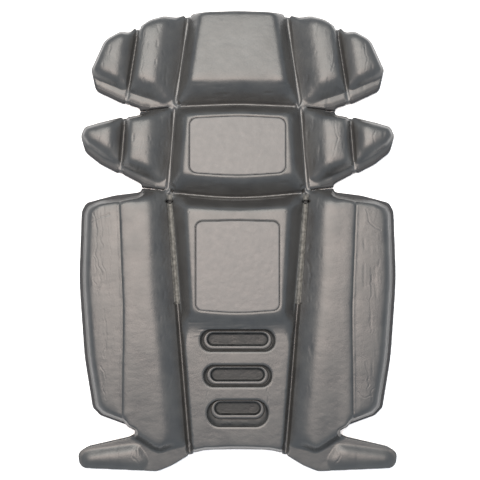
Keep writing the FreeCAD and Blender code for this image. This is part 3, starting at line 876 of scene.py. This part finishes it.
def skirt(shell, sheet, z, shortest=0):
    """Walls straight down from the sheet's edges, and a flat underside."""
    bottom = []
    for loop in sheet.loops():
        if len(loop) >= shortest:
            bottom.append(shell.ring(at_height(sheet.points[loop], z)))
            shell.wall(loop, bottom[-1])
    shell.cap(bottom, up=False)


def front_piece(body):
    field = fronts[body]
    openings = []
    if body in inlay_rims:
        openings.append((inlay_rims[body], line_pocket))
    if body == "main_center":
        openings += [(mouth, line_slot) for mouth in mouths]
    for opening, _ in openings:
        field = np.minimum(field, -opening)
    sheet = Sheet(field, relief)
    shell = Shell(sheet)
    bottom = []
    for loop in sheet.loops():
        points = sheet.points[loop]
        middle = points[:, :2].mean(0)
        lining = [line for opening, line in openings if sampled(opening, *middle) > 0]
        if lining and sampled(fronts[body], *points[0, :2]) > OPENING_EDGE:
            lining[0](shell, loop, points)
        else:
            lower = shell.ring(at_height(points, SPLIT_Z))
            shell.wall(loop, lower)
            bottom.append(lower)
    shell.cap(bottom, up=False)
    piece = shell.piece(body + "_front_ply")
    relief_normals(piece, shell.top_faces, relief)
    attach(piece, body)
    finished(piece, skin_material, FRONT_NODES[body])
    # the deep rings and floors of the vent slots get painted shade
    paint_slot_shade(piece, shell)


BAND = 3.4  # width of the finely meshed rim of the back ply
BACK_EDGE_Z, BACK_TOP_RADIUS = 3.1, 1.6  # height of its edge's upper side, and the rounding there
BACK_RISE, BACK_LOW_RADIUS = 1.3, 1.5  # and the same at its lower side
back_top = np.minimum(rim_profile(back_union, BACK_EDGE_Z, SPLIT_Z, BACK_TOP_RADIUS), SPLIT_Z)
back_bottom = BACK_RISE - np.minimum(rim_profile(back_union, 0.0, BACK_RISE, BACK_LOW_RADIUS), BACK_RISE)


def back_piece(body):
    field = backs[body]
    sheet = Sheet(np.minimum(field, BAND - field), back_top)
    shell = Shell(sheet)
    lower = sheet.points.copy()
    lower[:, 2] = sampled(back_bottom, lower[:, 0], lower[:, 1])
    first = shell.ring(lower)[0]
    shell.faces += [[number + first for number in reversed(face)] for face in sheet.faces]
    inner = []
    for loop in sheet.loops():
        if sampled(field, *sheet.points[loop[0], :2]) > BAND / 2:
            inner.append(loop)
        else:
            shell.wall(loop, [number + first for number in loop])
    shell.cap(inner, up=True)
    shell.cap([[number + first for number in loop] for loop in inner], up=False)
    piece = shell.piece(body + "_back_ply")
    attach(piece, body)
    finished(piece, back_material, (BACK_NODES[body],))


WEB_EDGE_Z, WEB_RADIUS = 2.2, 1.8  # height of a web's open edge, and the rounding there
WEB_OVERLAP, FRONT_OVERLAP = 0.3, 0.15  # webs run on a little, unseen, under their neighbours
HIDDEN_DROP, HIDDEN_FROM, HIDDEN_TO = 0.15, -0.2, 0.1  # and lie lower there, softly from here to there
SHORTEST_LOOP = 12  # an edge of fewer points is a speck, and has no wall
LOBE_BEND, CHANNEL_BEND = 1.2, 1.9  # half width of the line across a web that bend_line gives
web_height = np.minimum(relief, rim_profile(back_union, WEB_EDGE_Z, SPLIT_Z, WEB_RADIUS))
under_front = union(fronts)


def bend_line(web):
    """Two places across the middle of a web's CAD strip, in metres, half a bend width either side of its
    centre.
    """
    corners_xy = slice_loops(web, WEB_SLICE_Z)[0]
    centre = corners_xy.mean(0)
    spread = corners_xy - centre
    across = np.linalg.eigh(spread.T @ spread)[1][:, 0]
    nodes = FRONT_NODES[WEBS[web][1]]
    far_centre = np.mean([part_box(node)[0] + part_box(node)[1] for node in nodes], axis=0)[:2] / (2 * MM)
    if across @ (far_centre - centre) < 0:
        across = -across
    half = across * (LOBE_BEND if "lobe" in web else CHANNEL_BEND)
    return (*((centre - half) * MM), 0), (*((centre + half) * MM), 0)


def web_piece(web, taken):
    """One web, where no web made earlier and no front ply is."""
    region = np.minimum.reduce([webs[web], WEB_OVERLAP - taken, FRONT_OVERLAP - under_front])
    hidden = smoothstep(HIDDEN_FROM, HIDDEN_TO, np.maximum(taken, under_front))
    sheet = Sheet(region, web_height - HIDDEN_DROP * hidden)
    shell = Shell(sheet)
    skirt(shell, sheet, WEB_BOTTOM_Z, SHORTEST_LOOP)
    piece = shell.piece(web + "_skin")
    relief_normals(piece, shell.top_faces, web_height)
    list(bend_line(web))
    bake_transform(piece)
    raw = "slit" in web
    if raw:
        # the hole at the top of the slit gets painted shade
        paint_hole_shade(piece)
    plain = skin_material if "low" in web else pressed_material
    finished(piece, None if raw else plain, (web,))


# ---- materials ----
def fill(node, values):
    """Set a node's inputs to values, or link them to the outputs of other nodes."""
    for socket, value in values.items():
        if isinstance(value, bpy.types.NodeSocket):
            node.id_data.links.new(value, node.inputs[socket])
        else:
            node.inputs[socket].default_value = value


def foam(name, dark, light, rough, specular, scales, depths):
    """Foam skin: mottled colour, uneven gloss and two sizes of surface grain."""
    material = bpy.data.materials.new(name)
    material.use_nodes = True
    nodes = material.node_tree.nodes

    def add(kind, output, values):
        node = nodes.new("ShaderNode" + kind)
        fill(node, values)
        return node.outputs[output]

    place = nodes.new("ShaderNodeTexCoord").outputs["Object"]
    coarse = add("TexNoise", "Fac", {"Vector": place, "Scale": scales[0], "Detail": 3.0, "Roughness": 0.55})
    fine = add("TexNoise", "Fac", {"Vector": place, "Scale": scales[1], "Detail": 4.0, "Roughness": 0.6})
    ramp = nodes.new("ShaderNodeValToRGB")
    for stop, position, colour in zip(ramp.color_ramp.elements, (0.35, 0.65), (dark, light)):
        stop.position, stop.color = position, (*colour, 1)
    fill(ramp, {"Fac": coarse})
    gloss = add("MapRange", "Result", {"Value": coarse, "From Min": 0.3, "From Max": 0.7,
                                       "To Min": rough[0], "To Max": rough[1]})
    waves = add("Bump", "Normal", {"Height": coarse, "Distance": depths[0], "Strength": 0.6})
    pores = add("Bump", "Normal", {"Height": fine, "Distance": depths[1], "Strength": 0.5, "Normal": waves})
    fill(nodes["Principled BSDF"], {"Base Color": ramp.outputs["Color"], "Roughness": gloss,
                                    "Specular IOR Level": specular, "Normal": pores})
    return material


skin_material = foam("moulded_skin", (0.026, 0.025, 0.024), (0.034, 0.033, 0.031), (0.34, 0.44), 0.6,
                     (60, 900), (0.0006, 0.00012))
pressed_material = foam("pressed_skin", (0.034, 0.033, 0.032), (0.044, 0.043, 0.042), (0.36, 0.44), 0.7,
                        (60, 900), (0.0004, 0.0001))
# Near black, darker than any foam of the object: paints the shade in the deep vent slot pockets and in the
# hole above each slit.
painted_shade_material = foam("painted_slot_shade", (0.006, 0.006, 0.006), (0.022, 0.022, 0.021), (0.4, 0.7), 0.35,
                           (140, 600), (0.0012, 0.0004))
inlay_material = foam("inlay_foam", (0.050, 0.046, 0.044), (0.060, 0.056, 0.053), (0.42, 0.50), 0.65,
                      (180, 700), (0.00012, 0.00012))
back_material = foam("back_foam", (0.020, 0.020, 0.021), (0.028, 0.028, 0.029), (0.6, 0.75), 0.3,
                     (90, 1200), (0.0004, 0.00025))
raw_material = foam("raw_foam", (0.078, 0.076, 0.070), (0.150, 0.145, 0.132), (0.75, 0.95), 0.3,
                    (330, 1300), (0.0014, 0.0007))

HOLE = (61.4, 35.6, 2.9, 1.8)  # place and half sizes of the hole above each slit, whose faces get painted shade


def paint_hole_shade(piece):
    """Give the faces in the hole at the top of a slit the near-black material that paints its shade."""
    centres = np.zeros(len(piece.data.polygons) * 3, np.float32)
    piece.data.polygons.foreach_get("center", centres)
    x, y, _ = centres.reshape(-1, 3).T / MM
    inside = np.hypot((np.abs(x) - HOLE[0]) / HOLE[2], (y - HOLE[1]) / HOLE[3]) < 1
    piece.data.materials.append(raw_material)
    piece.data.materials.append(painted_shade_material)
    piece.data.polygons.foreach_set("material_index", inside.astype(np.int32))


for body in fronts:
    front_piece(body)
    back_piece(body)
taken = np.full(X.shape, -FAR)
for web in WEBS:
    web_piece(web, taken)
    taken = np.maximum(taken, webs[web])


# ---- inlays ----
INLAY_PROUD = 0.05  # how far an inlay stands proud of its block
INLAY_DROP, INLAY_RADIUS = 0.8, 1.0  # rounding of its edge
INLAY_GRAIN = 0.02


def inlay_piece(body, node):
    field = inlay_field(node)
    top = node_top(node) + INLAY_PROUD
    height = np.minimum(rim_profile(field, top - INLAY_DROP, top, INLAY_RADIUS), top)
    sheet = Sheet(field, height + INLAY_GRAIN * grain(SEED, 0.9, 0.9))
    shell = Shell(sheet)
    skirt(shell, sheet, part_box(node)[0].z / MM + INLAY_PROUD)
    piece = shell.piece(node + "_foam")
    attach(piece, body)
    finished(piece, inlay_material, (node,))


for body, node in INLAYS.items():
    inlay_piece(body, node)

# ---- floor, light and camera ----
FLOOR_SIZE, FLOOR_DROP = 6.0, 0.0005
bpy.ops.mesh.primitive_plane_add(size=FLOOR_SIZE, location=(0, 0, -FLOOR_DROP))
floor = bpy.context.object
floor.name = "studio_floor"
floor_material = bpy.data.materials.new("studio_floor")
floor_material.use_nodes = True
fill(floor_material.node_tree.nodes["Principled BSDF"],
     {"Base Color": (0.92, 0.92, 0.92, 1), "Roughness": 0.9, "Specular IOR Level": 0.1})
floor.data.materials.append(floor_material)

LIGHT_HEIGHT = 1.1


def softbox(name, middle, size, radiance, colour):
    """A rectangular light overhead that shines straight down."""
    data = bpy.data.lights.new(name, "AREA")
    data.shape = "RECTANGLE"
    data.size, data.size_y = size
    data.energy = radiance * math.pi * size[0] * size[1]
    data.color = colour
    lamp = placed(name, data)
    lamp.location = (*middle, LIGHT_HEIGHT)


SOFTBOXES = (  # name, middle, size, radiance, colour
    ("warm_softbox", (-0.15, 0.06), (1.0, 0.50), 9.7, (1.0, 0.845, 0.745)),
    ("cool_softbox", (-0.15, 0.53), (1.0, 0.44), 8.4, (1.0, 0.98, 0.91)),
)
for box in SOFTBOXES:
    softbox(*box)

world = bpy.data.worlds.new("studio")
bpy.context.scene.world = world
world.use_nodes = True
fill(world.node_tree.nodes["Background"], {"Color": (0.70, 0.85, 1.0, 1), "Strength": 1.0})

CAMERA_Y, CAMERA_HEIGHT = -0.053, 0.755
FRAME_WIDTH, FRAME_Z = 0.432, 0.005  # width of the view at the level of the grooves
SENSOR_MM = 36
camera_data = bpy.data.cameras.new("camera")
camera = placed("camera", camera_data)
camera.location = (0, CAMERA_Y, CAMERA_HEIGHT)
camera_data.sensor_width = SENSOR_MM
camera_data.lens = SENSOR_MM * (CAMERA_HEIGHT - FRAME_Z) / FRAME_WIDTH
camera_data.shift_x, camera_data.shift_y = 0.005, 0.125  # brings the object to the middle of the view
bpy.context.scene.camera = camera
bpy.context.scene.view_settings.view_transform = "Standard"
